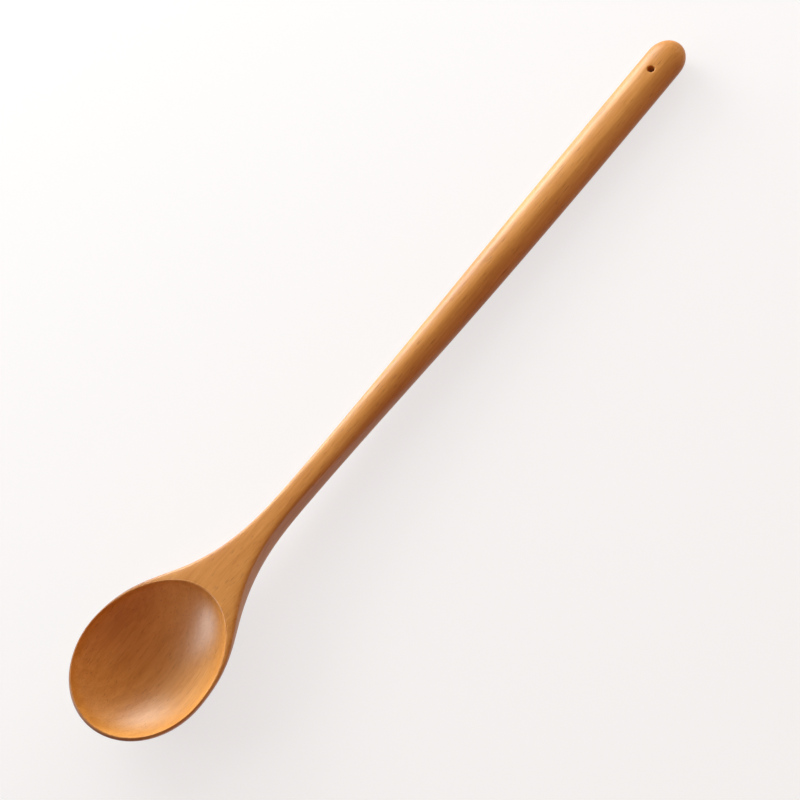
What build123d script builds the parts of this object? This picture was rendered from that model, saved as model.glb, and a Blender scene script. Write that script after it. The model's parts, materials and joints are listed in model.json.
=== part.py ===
from build123d import *
import os

os.makedirs("parts", exist_ok=True)

# Overall sizes in millimetres
spoon_length = 330.0
bowl_width = 51.7
handle_width = 14.9
handle_thickness = 10.0

# Bowl: the widest place lies one front reach behind the tip
bowl_front_reach = 28.45
rim_height = 18.5
rim_roll = 1.0
rim_wall = 0.6
tip_wall = 1.2
hollow_back_reach = 32.6
hollow_depth = 14.2

# Neck: the narrowest place, and the highest place of the underside
neck_distance = 102.5
neck_width = 7.65
arch_distance = 82.0
arch_height = 3.4

# Handle end and its hanging hole
nose_reach = 9.0
hole_diameter = 2.8
hole_distance = 16.5

# Where the sections start and end, measured from the tip
nose_distance = spoon_length - nose_reach
tip_position = -spoon_length / 2
bowl_position = tip_position + bowl_front_reach
nose_position = tip_position + nose_distance
shoulder_length = neck_distance - bowl_front_reach
grip_length = nose_distance - neck_distance
top_length = nose_distance - bowl_front_reach
back_length = arch_distance - bowl_front_reach
underside_length = nose_distance - arch_distance

# Shape of the guide lines, as shares of the stretch that each one spans
shoulder_hold_share = 0.405
shoulder_run_share = 0.387
grip_hold_share = 0.225
grip_run_share = 0.3
rim_hold_share = 0.04
top_run_share = 0.28
back_hold_share = 0.43
back_run_share = 0.66
arch_hold_share = 0.12
arch_run_share = 0.29

# Roundness of the section: 0.55 draws an ellipse, 1 a square corner
oval_share = 0.62
bowl_side_share = 0.44
neck_side_share = 0.9
land_share = 0.9
crown_share = 0.5

# Stretches over which the roundness changes, as shares of the length
square_start_share = 0.11
square_end_share = 0.24
round_start_share = 0.27
round_end_share = 0.6

# Sections from the widest place to the nose, closer together at the bowl
section_count = 25
section_crowding = 1.4

# Guide line for the half width, drawn over the distance from the tip
with BuildLine() as width_guide:
    Bezier(
        (bowl_front_reach, bowl_width / 2),
        (bowl_front_reach + shoulder_length * shoulder_hold_share, bowl_width / 2),
        (bowl_front_reach + shoulder_length * shoulder_run_share, neck_width / 2),
        (neck_distance, neck_width / 2),
    )
    Bezier(
        (neck_distance, neck_width / 2),
        (neck_distance + grip_length * grip_hold_share, neck_width / 2),
        (neck_distance + grip_length * grip_run_share, handle_width / 2),
        (nose_distance, handle_width / 2),
    )

# Guide line for the height of the top
with BuildLine() as top_guide:
    Bezier(
        (bowl_front_reach, rim_height),
        (bowl_front_reach + top_length * rim_hold_share, rim_height),
        (bowl_front_reach + top_length * top_run_share, handle_thickness),
        (nose_distance, handle_thickness),
    )

# Guide line for the height of the underside
with BuildLine() as underside_guide:
    Bezier(
        (bowl_front_reach, 0),
        (bowl_front_reach + back_length * back_hold_share, 0),
        (bowl_front_reach + back_length * back_run_share, arch_height),
        (arch_distance, arch_height),
    )
    Bezier(
        (arch_distance, arch_height),
        (arch_distance + underside_length * arch_hold_share, arch_height),
        (arch_distance + underside_length * arch_run_share, 0),
        (nose_distance, 0),
    )


def read_guide(guide, distance):
    """Value of a guide line at a distance from the tip."""
    path = guide.wires()[0]
    low = 0.0
    high = 1.0
    for halving in range(40):
        middle = (low + high) / 2
        if (path @ middle).X < distance:
            low = middle
        else:
            high = middle
    return (path @ middle).Y


def ease(distance, start_share, end_share):
    """Smooth step from 0 to 1 between two distances from the tip."""
    way = (distance / spoon_length - start_share) / (end_share - start_share)
    way = min(max(way, 0), 1)
    return way * way * (3 - 2 * way)


def mix(first, second, way):
    """Value between two values."""
    return first + (second - first) * way


def section_curves(distance):
    """Control points of the upper and the lower quarter of a section."""
    half_width = read_guide(width_guide, distance)
    top = read_guide(top_guide, distance)
    bottom = read_guide(underside_guide, distance)
    squared = ease(distance, square_start_share, square_end_share)
    rounded = ease(distance, round_start_share, round_end_share)
    crown = mix(rim_roll, (top - bottom) * crown_share, rounded)
    side = top - crown
    land = mix(land_share, oval_share, rounded)
    fullness = mix(mix(bowl_side_share, neck_side_share, squared), oval_share, rounded)
    upper = [
        (half_width, side),
        (half_width, side + crown * oval_share),
        (half_width * land, top),
        (0, top),
    ]
    lower = [
        (0, bottom),
        (half_width * fullness, bottom),
        (half_width, side - (side - bottom) * fullness),
        (half_width, side),
    ]
    return upper, lower


def mirrored(points):
    """The same curve on the other side of the spoon's centre plane."""
    return [(-across, height) for across, height in reversed(points)]


# Back of the bowl, neck and handle: one body through all the sections
with BuildPart() as long_body:
    for number in range(section_count):
        way = (number / (section_count - 1)) ** section_crowding
        distance = mix(bowl_front_reach, nose_distance, way)
        upper, lower = section_curves(distance)
        with BuildSketch(Plane.YZ.offset(tip_position + distance)):
            with BuildLine():
                Bezier(*upper)
                Bezier(*mirrored(upper))
                Bezier(*mirrored(lower))
                Bezier(*lower)
            make_face()
    loft()

# Front of the bowl: half a turn of the widest section, drawn out to the tip
with BuildPart() as bowl_front:
    upper, lower = section_curves(bowl_front_reach)
    with BuildSketch(Plane.YZ.offset(bowl_position)):
        with BuildLine():
            Bezier(*upper)
            Line((0, rim_height), (0, 0))
            Bezier(*lower)
        make_face()
    revolve(axis=Axis((bowl_position, 0, 0), (0, 0, 1)), revolution_arc=180)
    scale(
        by=(bowl_front_reach / (bowl_width / 2), 1, 1),
        about=(bowl_position, 0, 0),
    )

# Rounded end of the handle: half a turn of its last section
with BuildPart() as nose:
    upper, lower = section_curves(nose_distance)
    with BuildSketch(Plane.YZ.offset(nose_position)):
        with BuildLine():
            Bezier(*upper)
            Line((0, handle_thickness), (0, 0))
            Bezier(*lower)
        make_face()
    revolve(axis=Axis((nose_position, 0, 0), (0, 0, 1)), revolution_arc=-180)
    scale(
        by=(nose_reach / (handle_width / 2), 1, 1),
        about=(nose_position, 0, 0),
    )

# Hollow of the bowl: the same round profile, drawn out forwards and backwards
hollow_floor = rim_height - hollow_depth
hollow_top = rim_height + hollow_depth
hollow_half_width = bowl_width / 2 - rim_wall
hollow_front_reach = bowl_front_reach - tip_wall
hollow_profile = [
    (0, hollow_floor),
    (hollow_half_width * bowl_side_share, hollow_floor),
    (hollow_half_width, rim_height - hollow_depth * bowl_side_share),
    (hollow_half_width, rim_height),
]
with BuildPart() as hollow_front:
    with BuildSketch(Plane.YZ.offset(bowl_position)):
        with BuildLine():
            Bezier(*hollow_profile)
            Polyline(
                (hollow_half_width, rim_height),
                (hollow_half_width, hollow_top),
                (0, hollow_top),
                (0, hollow_floor),
            )
        make_face()
    revolve(axis=Axis((bowl_position, 0, 0), (0, 0, 1)), revolution_arc=180)
    scale(
        by=(hollow_front_reach / hollow_half_width, 1, 1),
        about=(bowl_position, 0, 0),
    )
with BuildPart() as hollow_back:
    mirror(hollow_front.part, about=Plane.YZ.offset(bowl_position))
    scale(
        by=(hollow_back_reach / hollow_front_reach, 1, 1),
        about=(bowl_position, 0, 0),
    )
with BuildPart() as hollow:
    add(hollow_front.part)
    add(hollow_back.part)

# The spoon: bowl, neck and handle in one piece of wood
with BuildPart() as wooden_spoon:
    add(long_body.part)
    add(bowl_front.part)
    add(nose.part)
    add(hollow.part, mode=Mode.SUBTRACT)
    with Locations((spoon_length / 2 - hole_distance, 0, handle_thickness)):
        Hole(radius=hole_diameter / 2)

wooden_spoon.part.label = "wooden_spoon"
export_step(wooden_spoon.part, "parts/wooden_spoon.step")
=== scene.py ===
import json
import math

import bmesh
import bpy
from mathutils import Matrix, Vector

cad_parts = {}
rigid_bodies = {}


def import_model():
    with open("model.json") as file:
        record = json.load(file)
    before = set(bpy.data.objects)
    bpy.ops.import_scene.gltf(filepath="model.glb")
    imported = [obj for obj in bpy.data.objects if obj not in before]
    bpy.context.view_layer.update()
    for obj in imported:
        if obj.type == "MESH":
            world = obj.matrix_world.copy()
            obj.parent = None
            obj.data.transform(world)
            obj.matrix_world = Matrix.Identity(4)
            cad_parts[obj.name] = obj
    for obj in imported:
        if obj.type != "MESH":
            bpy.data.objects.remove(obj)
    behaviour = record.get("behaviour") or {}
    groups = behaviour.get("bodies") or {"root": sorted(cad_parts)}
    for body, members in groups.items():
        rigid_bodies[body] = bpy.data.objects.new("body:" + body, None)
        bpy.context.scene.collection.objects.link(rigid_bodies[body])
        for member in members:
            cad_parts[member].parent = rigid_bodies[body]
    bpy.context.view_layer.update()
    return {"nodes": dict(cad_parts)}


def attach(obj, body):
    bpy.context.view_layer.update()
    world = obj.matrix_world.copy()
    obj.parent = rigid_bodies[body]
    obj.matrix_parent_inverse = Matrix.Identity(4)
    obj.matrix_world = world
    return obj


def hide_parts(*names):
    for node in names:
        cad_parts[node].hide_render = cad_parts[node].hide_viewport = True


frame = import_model()
cad_spoon = frame["nodes"]["wooden_spoon"]

# Sizes below are in millimetres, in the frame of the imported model
mm = 0.001
same_place = 0.002

# Bowl: reach of the lip to the front, to each side and to the back of the widest place
bowl_x = -136.55
bowl_points = 48
lip_reach = (27.33, 25.33, 32.68)
drop_height = 30.0
hollow_floor = 4.3

# Rings down the hollow: share of the lip's reach, share of its height over the floor
hollow_rings = [
    (0.999, 0.975), (0.995, 0.925), (0.977, 0.838), (0.938, 0.727), (0.867, 0.590),
    (0.775, 0.458), (0.665, 0.335), (0.542, 0.225), (0.410, 0.133),
]

# Rings over the rim: reach to the front, side and back, drop below the lip
rim_rings = [
    ((27.60, 25.48, 33.20), 0.05),
    ((27.99, 25.66, 34.31), 0.30),
    ((28.42, 25.89, 35.95), 1.00),
]

# Where the neck leaves the bowl
neck_x = -100.55
neck_start = -124.0
neck_half_width = 13.2

# Rings down the back of the bowl: share of the reach from the neck, of the width, drop
back_rings = [
    (0.995, 0.985, 1.6), (0.975, 0.94, 4.2), (0.94, 0.87, 7.4),
    (0.88, 0.78, 10.3), (0.81, 0.68, 12.8),
]
crown_x = -128.55
crown_share = (0.62, 0.6)
crown_drop = 3.2

# Rings along neck and handle: distance from the tip, half width, underside, top
neck_ring = (64.45, 12.95, 2.4, 15.6)
handle_rings = [
    (70, 9.45, 2.93, 15.85), (76, 7.27, 3.28, 15.5), (83, 5.52, 3.4, 15.11),
    (91, 4.36, 3.31, 14.69), (100, 3.85, 3.09, 14.26), (110, 3.85, 2.79, 13.81),
    (122, 4.02, 2.43, 13.31), (136, 4.4, 2.03, 12.79), (152, 4.94, 1.62, 12.27),
    (170, 5.55, 1.23, 11.76), (190, 6.12, 0.88, 11.29), (212, 6.6, 0.58, 10.86),
    (236, 6.97, 0.33, 10.51), (260, 7.22, 0.16, 10.25), (282, 7.36, 0.06, 10.1),
    (298, 7.42, 0.02, 10.03), (307, 7.44, 0.01, 10.01), (311.9, 7.45, 0, 10),
    (313.5, 7.45, 0, 10), (315.1, 7.45, 0, 10), (318.5, 7.45, 0, 10),
    (322.5, 7.35, 0.05, 9.95), (325.8, 6.2, 0.5, 9.5), (328.4, 4.2, 1.6, 8.4),
]

# Grids that close the rings, laid the same each run: the bowl's start at the point nearest
# to a corner, and the handle's end is filled between the two sides of its last ring
hollow_corner = (-147.76, 0.0, 6.12)
back_corner = (-141.57, -5.28, 0.93)
last_ring_x = 163.4

# Hanging hole: the ring starts wider, because the subdivision draws it in
hole_x = 148.5
hole_ring_radius = 1.55
hole_heights = (0.1, 9.9)
hole_cut = (1.7, 2.0)
hole_edge_round = 0.25
hole_edge_steps = 2
hole_hold_radius = 1.9

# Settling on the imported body: turns of settling and evening out, per subdivision
settle_turns = [(3, 6), (3, 4)]
evening_strength = 0.5
beside_lip_hold = 0.5

# Camera: the photograph's side of the spoon, in degrees and metres
camera_azimuth = -27.43
camera_elevation = 62.4
camera_roll = -25.64
camera_distance = 0.8
camera_aim_height = 0.01
camera_slide = (-0.00004, -0.01069)
sensor_width = 36.0
lens_length = 101.35

# Light, each row: azimuth and elevation in degrees, distance in metres, width and height,
# power, colour, and whether it lights the wood or only leaves a glare on the lacquer
daylight = (0.96, 1.0, 1.0)
warm_bounce = (1.0, 0.46, 0.28)
lamps = {
    "window": (80, 13, 1.1, (0.8, 0.40), 12.8, daylight, "light"),
    "low_window": (80, 8, 1.1, (0.75, 0.32), 3.0, daylight, "light"),
    "window_glare": (80, 8, 1.1, (0.75, 0.32), 10.2, daylight, "glare"),
    "sky_panel": (68, 42, 1.1, (1.2, 0.4), 2.3, daylight, "light"),
    "side_window": (8, 22, 1.1, (1.0, 0.33), 5.8, daylight, "light"),
    "high_pane": (62, 22, 1.0, (0.6, 0.32), 2.6, daylight, "light"),
    "high_glare": (62, 22, 1.0, (0.6, 0.32), 9.0, daylight, "glare"),
    "lamp": (134, 24, 1.0, (0.4, 0.3), 2.1, daylight, "light"),
    "lamp_glare": (134, 24, 1.0, (0.4, 0.3), 7.2, daylight, "glare"),
    "fill": (270, 30, 1.1, (1.2, 0.5), 1.8, warm_bounce, "light"),
}
surround_colour = (1.0, 0.44, 0.28, 1.0)
surround_strength = 0.16
background_colour = (1.0, 1.0, 1.0, 1.0)
background_strength = 1.0

# Floor: pale to the camera, in gloss and through glass; it throws a dim warm light
floor_width = 6.0
floor_pale = (0.93, 0.93, 0.93, 1.0)
floor_thrown = (0.32, 0.16, 0.08, 1.0)
floor_glow_share = 0.7

# Wood colours, as linear red, green and blue
wood_light = (0.73, 0.352, 0.085, 1.0)
wood_middle = (0.58, 0.240, 0.040, 1.0)
wood_dark = (0.41, 0.134, 0.017, 1.0)
# Brown of the pores, also used for the painted shade on one side of the rim
pore_and_painted_shade_brown = (0.20, 0.052, 0.009, 1.0)

# Growth rings: where their middle lies, how they are drawn out, how many per metre,
# and how they wander
ring_axis_place = (0.0, 0.055, -0.075)
ring_stretch = (0.16, 1.0, 1.0)
ring_rate = 105.0
ring_wander = 2.2
ring_wander_detail = 2.0
ring_wander_size = 0.35

# Wood figure: how often a pattern comes round along, across and through the grain,
# per metre, and how fine, rough and twisted it is
streak_figure = {
    "rates": (11.0, 420.0, 420.0), "detail": 3.0, "roughness": 0.6, "distortion": 0.3,
}
fibre_figure = {
    "rates": (70.0, 1700.0, 1700.0), "detail": 2.0, "roughness": 0.6, "offset": (3, 5, 1),
}
cloud_figure = {
    "rates": (32.0, 60.0, 60.0), "detail": 3.0, "roughness": 0.55, "offset": (7, 2, 4),
}
pore_figure = {"rates": (240.0, 2300.0, 2300.0), "detail": 1.0, "offset": (1, 9, 6)}

# Part of each pattern's values that is used, and its share in the wood's tone
whole_span = (0.0, 1.0)
figure_span = (0.25, 0.75)
pore_span = (0.64, 0.76)
ring_share = 0.08
streak_share = 0.22
fibre_share = 0.22
cloud_share = 0.34
pore_strength = 0.45
wood_tones = [(0.15, wood_light), (0.5, wood_middle), (0.9, wood_dark)]

# Lacquer: roughness over the fibres, its change with the clouds, and the gloss
fibre_roughness = (0.40, 0.50)
cloud_roughness = (-0.03, 0.03)
specular_level = 0.20
coat_weight = 0.30
coat_roughness = 0.32

# Relief of the grain: share of each pattern, strength, and depth in metres
fibre_relief = 0.5
streak_relief = 0.5
pore_relief = -0.6
relief_strength = 0.35
relief_depth = 0.00008

# Painted shade: a dark line round the outside of the bowl's rim, on one side only, the side
# the lamps light: where it starts and is full, by how far the wood faces outwards,
# by height and length in metres, and by its side
painted_rim_shade_middle = (-0.13655, 0.0, 0.017)
painted_rim_shade_facing = (0.02, 0.35)
painted_rim_shade_height = (0.0145, 0.0165)
painted_rim_shade_length = (-0.100, -0.118)
painted_rim_shade_side = (-0.643, 0.766, 0.0)
painted_rim_shade_turn = (-0.25, 0.1)
painted_rim_shade_strength = 0.75

# Sockets of a colour mix: amount, first colour, second colour, and the mixed colour
mix_amount, mix_first, mix_second, mix_result = 0, 6, 7, 2


def direction(azimuth, elevation):
    """Unit vector towards a place on the sky, with azimuth turned from +X to +Y."""
    turn = math.radians(azimuth)
    rise = math.radians(elevation)
    return Vector((
        math.cos(turn) * math.cos(rise),
        math.sin(turn) * math.cos(rise),
        math.sin(rise),
    ))


def add_camera():
    data = bpy.data.cameras.new("camera")
    data.sensor_width = sensor_width
    data.lens = lens_length
    camera = bpy.data.objects.new("camera", data)
    bpy.context.scene.collection.objects.link(camera)
    aim = Matrix.Translation((0, 0, camera_aim_height))
    turn = Matrix.Rotation(math.radians(camera_azimuth), 4, "Z")
    tilt = Matrix.Rotation(math.radians(90 - camera_elevation), 4, "X")
    roll = Matrix.Rotation(math.radians(camera_roll), 4, "Z")
    back = Matrix.Translation((*camera_slide, camera_distance))
    camera.matrix_world = aim @ turn @ tilt @ roll @ back
    bpy.context.scene.camera = camera


def add_area_light(name, azimuth, elevation, distance, size, power, colour, use):
    data = bpy.data.lights.new(name, "AREA")
    data.shape = "RECTANGLE"
    data.size, data.size_y = size
    data.energy = power
    data.color = colour
    lamp = bpy.data.objects.new(name, data)
    bpy.context.scene.collection.objects.link(lamp)
    towards = direction(azimuth, elevation)
    lamp.location = towards * distance
    lamp.rotation_euler = towards.to_track_quat("Z", "Y").to_euler()
    lamp.visible_glossy = use == "glare"
    lamp.visible_diffuse = use == "light"


def combined(nodes, links, operation, values):
    """One value out of several, joined by a math node for each further one."""
    total, *others = values
    for value in others:
        node = nodes.new("ShaderNodeMath")
        node.operation = operation
        links.new(total, node.inputs[0])
        links.new(value, node.inputs[1])
        total = node.outputs[0]
    return total


def background_rays(nodes, links):
    """1 for the rays that show the background: to the camera, in gloss, through glass."""
    path = nodes.new("ShaderNodeLightPath")
    kinds = ("Is Camera Ray", "Is Glossy Ray", "Is Transmission Ray")
    return combined(nodes, links, "MAXIMUM", [path.outputs[kind] for kind in kinds])


def mixed_shaders(nodes, links, first, second):
    mix = nodes.new("ShaderNodeMixShader")
    links.new(first, mix.inputs[1])
    links.new(second, mix.inputs[2])
    return mix


def add_surround():
    world = bpy.data.worlds.new("surround")
    bpy.context.scene.world = world
    world.use_nodes = True
    nodes = world.node_tree.nodes
    links = world.node_tree.links
    nodes.clear()
    pale = nodes.new("ShaderNodeBackground")
    pale.inputs["Color"].default_value = background_colour
    pale.inputs["Strength"].default_value = background_strength
    light = nodes.new("ShaderNodeBackground")
    light.inputs["Color"].default_value = surround_colour
    light.inputs["Strength"].default_value = surround_strength
    mix = mixed_shaders(
        nodes, links, light.outputs["Background"], pale.outputs["Background"]
    )
    output = nodes.new("ShaderNodeOutputWorld")
    links.new(background_rays(nodes, links), mix.inputs["Fac"])
    links.new(mix.outputs["Shader"], output.inputs["Surface"])


def add_floor():
    bpy.ops.object.select_all(action="DESELECT")
    bpy.ops.mesh.primitive_plane_add(size=floor_width)
    floor = bpy.context.object
    floor.name = "floor"
    material = bpy.data.materials.new("pale_floor")
    material.use_nodes = True
    nodes = material.node_tree.nodes
    links = material.node_tree.links
    nodes.remove(nodes["Principled BSDF"])
    pale = nodes.new("ShaderNodeBsdfDiffuse")
    pale.inputs["Color"].default_value = floor_pale
    glow = nodes.new("ShaderNodeEmission")
    seen = mixed_shaders(nodes, links, pale.outputs["BSDF"], glow.outputs["Emission"])
    seen.inputs["Fac"].default_value = floor_glow_share
    thrown = nodes.new("ShaderNodeBsdfDiffuse")
    thrown.inputs["Color"].default_value = floor_thrown
    shown = mixed_shaders(nodes, links, thrown.outputs["BSDF"], seen.outputs["Shader"])
    links.new(background_rays(nodes, links), shown.inputs["Fac"])
    links.new(shown.outputs["Shader"], nodes["Material Output"].inputs["Surface"])
    floor.data.materials.append(material)


def at(x, y, z):
    """Place in metres from millimetres."""
    return Vector((x, y, z)) * mm


def work_on(piece):
    """Leave only this piece picked."""
    bpy.ops.object.select_all(action="DESELECT")
    piece.select_set(True)
    bpy.context.view_layer.objects.active = piece


def pick(piece, wanted):
    """Pick the points whose place in millimetres is wanted, and give their places."""
    bpy.ops.mesh.select_all(action="DESELECT")
    mesh = bmesh.from_edit_mesh(piece.data)
    for point in mesh.verts:
        if wanted(point.co / mm):
            point.select_set(True)
    mesh.select_flush(True)
    bmesh.update_edit_mesh(piece.data)
    return picked(piece)


def picked(piece):
    """Places of the picked points, in millimetres."""
    mesh = bmesh.from_edit_mesh(piece.data)
    return [point.co / mm for point in mesh.verts if point.select]


def pick_places(piece, places):
    """Pick the points at these places."""
    def wanted(spot):
        return any((spot - place).length < same_place for place in places)

    return pick(piece, wanted)


def pick_edges(piece, wanted):
    """Pick the edges whose two ends, in millimetres, are wanted together."""
    bpy.ops.mesh.select_all(action="DESELECT")
    bpy.ops.mesh.select_mode(type="EDGE")
    mesh = bmesh.from_edit_mesh(piece.data)
    for edge in mesh.edges:
        first, second = (point.co / mm for point in edge.verts)
        edge.select_set(wanted(first, second))
    bmesh.update_edit_mesh(piece.data)


def resize(along, across, up, centre):
    bpy.ops.transform.resize(value=(along, across, up), center_override=at(*centre))


def move(x, y, z):
    bpy.ops.transform.translate(value=at(x, y, z))


def close_bowl_ring(piece, corner):
    """Fill the picked ring with a square grid, from the point nearest to a corner."""
    mesh = bmesh.from_edit_mesh(piece.data)
    ring = [point for point in mesh.verts if point.select]
    start = min(ring, key=lambda point: (point.co - at(*corner)).length)
    mesh.select_history.clear()
    mesh.select_history.add(start)
    bpy.ops.mesh.fill_grid(span=bowl_points // 4)


def draw_out(piece, reach, new_reach):
    """Widen the picked bowl ring to a new reach to the front, side and back."""
    front, side, back = reach
    new_front, new_side, new_back = new_reach
    stretch = (new_front + new_back) / (front + back)
    centre = (new_back - stretch * back) / (1 - stretch)
    resize(stretch, new_side / side, 1, (bowl_x + centre, 0, 0))


def finish_with(piece, kind, **values):
    """Add a modifier to the piece and apply it."""
    work_on(piece)
    modifier = piece.modifiers.new(kind.lower(), kind)
    for name, value in values.items():
        setattr(modifier, name, value)
    bpy.ops.object.modifier_apply(modifier=modifier.name)


def carve_bowl(piece):
    """Lip, hollow, rim and back of the bowl, open where the neck comes in."""
    front, side, back = lip_reach
    work_on(piece)
    bpy.ops.object.mode_set(mode="EDIT")
    pick(piece, lambda spot: spot.x < bowl_x - same_place)
    resize(front / side, 1, 1, (bowl_x, 0, 0))
    pick(piece, lambda spot: spot.x > bowl_x + same_place)
    resize(back / side, 1, 1, (bowl_x, 0, 0))
    bpy.ops.object.mode_set(mode="OBJECT")
    finish_with(
        piece, "SHRINKWRAP", target=cad_spoon, wrap_method="PROJECT",
        use_project_z=True, use_negative_direction=True, use_positive_direction=False,
    )
    bpy.ops.object.mode_set(mode="EDIT")
    lip = pick(piece, lambda spot: True)

    share, height = 1.0, 1.0
    for new_share, new_height in hollow_rings:
        bpy.ops.mesh.extrude_edges_move()
        inward = new_share / share
        resize(inward, inward, new_height / height, (bowl_x, 0, hollow_floor))
        share, height = new_share, new_height
    close_bowl_ring(piece, hollow_corner)

    pick_places(piece, lip)
    reach, drop = lip_reach, 0.0
    for new_reach, new_drop in rim_rings:
        bpy.ops.mesh.extrude_edges_move()
        draw_out(piece, reach, new_reach)
        move(0, 0, drop - new_drop)
        reach, drop = new_reach, new_drop

    ring = picked(piece)
    neck_side = [
        spot for spot in ring if spot.x > neck_start and abs(spot.y) < neck_half_width
    ]
    others = [spot for spot in ring if spot not in neck_side]
    pick_places(piece, neck_side)
    resize(0, 1, 1, (neck_x, 0, 0))
    pick_places(piece, picked(piece) + others)

    along, across, drop = 1.0, 1.0, 0.0
    for new_along, new_across, new_drop in back_rings:
        bpy.ops.mesh.extrude_edges_move()
        resize(new_along / along, new_across / across, 1, (neck_x, 0, 0))
        move(0, 0, drop - new_drop)
        along, across, drop = new_along, new_across, new_drop
    bpy.ops.mesh.extrude_edges_move()
    resize(*crown_share, 1, (crown_x, 0, 0))
    move(0, 0, -crown_drop)
    close_bowl_ring(piece, back_corner)

    bpy.ops.mesh.select_all(action="DESELECT")
    bpy.ops.mesh.select_mode(type="FACE")
    mesh = bmesh.from_edit_mesh(piece.data)
    for face in mesh.faces:
        face.select_set(all(
            abs(point.co.x / mm - neck_x) < same_place for point in face.verts
        ))
    bmesh.update_edit_mesh(piece.data)
    bpy.ops.mesh.delete(type="FACE")
    bpy.ops.mesh.select_mode(type="VERT")
    return lip


def draw_handle(piece):
    """Neck and handle, drawn out of the bowl's opening, and closed at the end."""
    bpy.ops.mesh.select_non_manifold(use_wire=False, use_multi_face=False,
                                     use_non_contiguous=False, use_verts=False)
    before = neck_ring
    for ring in handle_rings:
        distance, half_width, underside, top = before
        new_distance, new_half_width, new_underside, new_top = ring
        bpy.ops.mesh.extrude_edges_move()
        height = (new_underside + new_top) / 2
        move(new_distance - distance, 0, height - (underside + top) / 2)
        thicker = (new_top - new_underside) / (top - underside)
        resize(1, new_half_width / half_width, thicker, (0, 0, height))
        before = ring
    pick_edges(piece, lambda first, second: (
        min(first.x, second.x) > last_ring_x - same_place
        and abs(first.z - second.z) > abs(first.y - second.y)
    ))
    bpy.ops.mesh.fill_grid()
    bpy.ops.mesh.select_mode(type="VERT")


def bore_hole(piece):
    """Hanging hole through the handle, with softly rounded edges."""
    middle_height = sum(hole_heights) / 2
    rings = []
    for height in hole_heights:
        upper = height > middle_height
        ring = pick(piece, lambda spot: (
            abs(spot.x - hole_x) < hole_cut[0] and abs(spot.y) < hole_cut[1]
            and (spot.z > middle_height) == upper
        ))
        centre = [spot for spot in ring if math.hypot(spot.x - hole_x, spot.y) < same_place]
        around = [spot for spot in ring if spot not in centre]
        pick_places(piece, centre)
        bpy.ops.mesh.delete(type="VERT")
        pick_places(piece, around)
        bpy.ops.transform.tosphere(value=1.0)
        spot = picked(piece)[0]
        middle = sum(picked(piece), Vector()) / len(around)
        narrower = hole_ring_radius / (spot - middle).length
        resize(narrower, narrower, 0, (hole_x, 0, middle.z))
        move(0, 0, height - middle.z)
        rings += picked(piece)
    pick_places(piece, rings)
    bpy.ops.mesh.bridge_edge_loops()

    widest = hole_ring_radius + same_place
    pick_edges(piece, lambda first, second: (
        abs(first.z - second.z) < same_place
        and all(math.hypot(spot.x - hole_x, spot.y) < widest for spot in (first, second))
    ))
    bpy.ops.mesh.bevel(
        offset=hole_edge_round * mm, segments=hole_edge_steps, affect="EDGES"
    )
    bpy.ops.mesh.select_mode(type="VERT")


def hold_points(piece, lip):
    """Weights for the settling: the lip and the bore stay, the rest is free."""
    group = piece.vertex_groups.new(name="free")
    settings = bpy.context.scene.tool_settings

    bpy.ops.mesh.select_all(action="SELECT")
    settings.vertex_group_weight = 1.0
    bpy.ops.object.vertex_group_assign()
    pick_places(piece, lip)
    bpy.ops.mesh.select_more()
    settings.vertex_group_weight = beside_lip_hold
    bpy.ops.object.vertex_group_assign()
    pick_places(piece, lip)
    settings.vertex_group_weight = 0.0
    bpy.ops.object.vertex_group_assign()
    pick(piece, lambda spot: math.hypot(spot.x - hole_x, spot.y) < hole_hold_radius)
    bpy.ops.object.vertex_group_assign()
    return group.name


def carved_spoon():
    """The spoon as one closed skin of four-sided faces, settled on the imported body."""
    bpy.ops.object.select_all(action="DESELECT")
    bpy.ops.mesh.primitive_circle_add(
        vertices=bowl_points, radius=lip_reach[1] * mm, location=at(bowl_x, 0, drop_height)
    )
    piece = bpy.context.object
    piece.name = "carved_spoon"
    bpy.ops.object.transform_apply(location=True, rotation=True, scale=True)

    lip = carve_bowl(piece)
    draw_handle(piece)
    bore_hole(piece)
    free = hold_points(piece, lip)
    bpy.ops.object.mode_set(mode="OBJECT")

    for turns, evening in settle_turns:
        finish_with(piece, "SUBSURF", levels=1, render_levels=1)
        for _ in range(turns):
            finish_with(
                piece, "SHRINKWRAP", target=cad_spoon,
                wrap_method="NEAREST_SURFACEPOINT", vertex_group=free,
            )
            finish_with(
                piece, "SMOOTH", factor=evening_strength, iterations=evening,
                vertex_group=free,
            )
    piece.vertex_groups.clear()

    bpy.ops.object.mode_set(mode="EDIT")
    bpy.ops.mesh.select_all(action="SELECT")
    bpy.ops.mesh.normals_make_consistent(inside=False)
    bpy.ops.object.mode_set(mode="OBJECT")
    bpy.ops.object.shade_smooth()
    return piece


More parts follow.
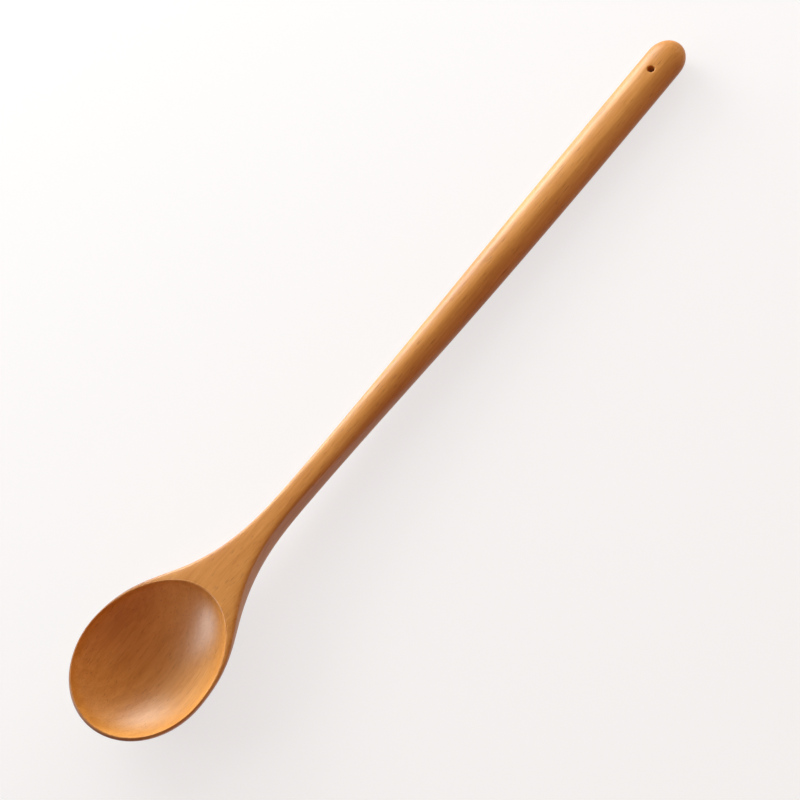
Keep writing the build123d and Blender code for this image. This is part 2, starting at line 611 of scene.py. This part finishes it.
class NodeBench:
    """Adds texture and colour nodes to one material and links them up."""

    def __init__(self, material):
        material.use_nodes = True
        self.nodes = material.node_tree.nodes
        self.links = material.node_tree.links
        self.shader = self.nodes["Principled BSDF"]
        coordinates = self.nodes.new("ShaderNodeTexCoord")
        self.place = coordinates.outputs["Object"]
        self.normal = coordinates.outputs["Normal"]

    def stretched(self, rates, offset=(0, 0, 0)):
        mapping = self.nodes.new("ShaderNodeMapping")
        mapping.inputs["Scale"].default_value = rates
        mapping.inputs["Location"].default_value = offset
        self.links.new(self.place, mapping.inputs["Vector"])
        return mapping.outputs["Vector"]

    def noise(self, rates, detail=2.0, roughness=0.5, distortion=0.0, offset=(0, 0, 0)):
        texture = self.nodes.new("ShaderNodeTexNoise")
        texture.inputs["Scale"].default_value = 1.0
        texture.inputs["Detail"].default_value = detail
        texture.inputs["Roughness"].default_value = roughness
        texture.inputs["Distortion"].default_value = distortion
        self.links.new(self.stretched(rates, offset), texture.inputs["Vector"])
        return texture.outputs["Fac"]

    def between(self, value, span, result=(0.0, 1.0)):
        """Value over a span, turned into a result from one end to the other."""
        node = self.nodes.new("ShaderNodeMapRange")
        node.inputs["From Min"].default_value, node.inputs["From Max"].default_value = span
        node.inputs["To Min"].default_value, node.inputs["To Max"].default_value = result
        self.links.new(value, node.inputs["Value"])
        return node.outputs["Result"]

    def sum(self, *values):
        return combined(self.nodes, self.links, "ADD", values)

    def product(self, *values):
        return combined(self.nodes, self.links, "MULTIPLY", values)

    def outward(self, middle):
        """How far the surface faces away from a place, from -1 to 1."""
        away = self.nodes.new("ShaderNodeVectorMath")
        away.operation = "SUBTRACT"
        away.inputs[1].default_value = middle
        self.links.new(self.place, away.inputs[0])
        unit = self.nodes.new("ShaderNodeVectorMath")
        unit.operation = "NORMALIZE"
        self.links.new(away.outputs[0], unit.inputs[0])
        facing = self.nodes.new("ShaderNodeVectorMath")
        facing.operation = "DOT_PRODUCT"
        self.links.new(unit.outputs[0], facing.inputs[0])
        self.links.new(self.normal, facing.inputs[1])
        return facing.outputs["Value"]

    def facing(self, side):
        """How far the surface faces one side, from -1 to 1."""
        node = self.nodes.new("ShaderNodeVectorMath")
        node.operation = "DOT_PRODUCT"
        node.inputs[1].default_value = side
        self.links.new(self.normal, node.inputs[0])
        return node.outputs["Value"]

    def ramp(self, value, stops):
        node = self.nodes.new("ShaderNodeValToRGB")
        elements = node.color_ramp.elements
        elements[0].position, elements[0].color = stops[0]
        elements[1].position, elements[1].color = stops[-1]
        for position, colour in stops[1:-1]:
            elements.new(position).color = colour
        self.links.new(value, node.inputs["Fac"])
        return node.outputs["Color"]

    def tinted(self, first, colour, amount):
        node = self.nodes.new("ShaderNodeMix")
        node.data_type = "RGBA"
        self.links.new(amount, node.inputs[mix_amount])
        self.links.new(first, node.inputs[mix_first])
        node.inputs[mix_second].default_value = colour
        return node.outputs[mix_result]


def lacquered_wood():
    material = bpy.data.materials.new("lacquered_wood_grain")
    bench = NodeBench(material)

    rings = bench.nodes.new("ShaderNodeTexWave")
    rings.wave_type = "RINGS"
    rings.rings_direction = "X"
    rings.wave_profile = "SAW"
    rings.inputs["Scale"].default_value = ring_rate
    rings.inputs["Distortion"].default_value = ring_wander
    rings.inputs["Detail"].default_value = ring_wander_detail
    rings.inputs["Detail Scale"].default_value = ring_wander_size
    bench.links.new(bench.stretched(ring_stretch, ring_axis_place), rings.inputs["Vector"])

    streaks = bench.noise(**streak_figure)
    fibres = bench.noise(**fibre_figure)
    clouds = bench.noise(**cloud_figure)
    pores = bench.noise(**pore_figure)

    figure = bench.sum(
        bench.between(rings.outputs["Fac"], whole_span, (0.0, ring_share)),
        bench.between(streaks, figure_span, (0.0, streak_share)),
        bench.between(fibres, figure_span, (0.0, fibre_share)),
        bench.between(clouds, figure_span, (0.0, cloud_share)),
    )
    colour = bench.ramp(figure, wood_tones)
    pore_marks = bench.between(pores, pore_span, (0.0, pore_strength))
    colour = bench.tinted(colour, pore_and_painted_shade_brown, pore_marks)
    place = bench.nodes.new("ShaderNodeSeparateXYZ")
    bench.links.new(bench.place, place.inputs["Vector"])
    # Painted shade: the outside of the rim is darkened on one side only, in the pore brown
    outward = bench.outward(painted_rim_shade_middle)
    painted_rim_shade = bench.product(
        bench.between(outward, painted_rim_shade_facing, (0.0, painted_rim_shade_strength)),
        bench.between(place.outputs["Z"], painted_rim_shade_height),
        bench.between(place.outputs["X"], painted_rim_shade_length),
        bench.between(bench.facing(painted_rim_shade_side), painted_rim_shade_turn),
    )
    colour = bench.tinted(colour, pore_and_painted_shade_brown, painted_rim_shade)
    bench.links.new(colour, bench.shader.inputs["Base Color"])

    dullness = bench.sum(
        bench.between(fibres, figure_span, fibre_roughness),
        bench.between(clouds, figure_span, cloud_roughness),
    )
    bench.links.new(dullness, bench.shader.inputs["Roughness"])
    bench.shader.inputs["Specular IOR Level"].default_value = specular_level
    bench.shader.inputs["Coat Weight"].default_value = coat_weight
    bench.shader.inputs["Coat Roughness"].default_value = coat_roughness

    relief = bench.sum(
        bench.between(fibres, figure_span, (0.0, fibre_relief)),
        bench.between(streaks, figure_span, (0.0, streak_relief)),
        bench.between(pores, pore_span, (0.0, pore_relief)),
    )
    bump = bench.nodes.new("ShaderNodeBump")
    bump.inputs["Strength"].default_value = relief_strength
    bump.inputs["Distance"].default_value = relief_depth
    bench.links.new(relief, bump.inputs["Height"])
    bench.links.new(bump.outputs["Normal"], bench.shader.inputs["Normal"])
    return material


bpy.context.scene.view_settings.view_transform = "Standard"
add_camera()
for name, values in lamps.items():
    add_area_light(name, *values)
add_surround()
add_floor()
spoon = carved_spoon()
spoon.data.materials.append(lacquered_wood())
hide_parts("wooden_spoon")
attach(spoon, "root")
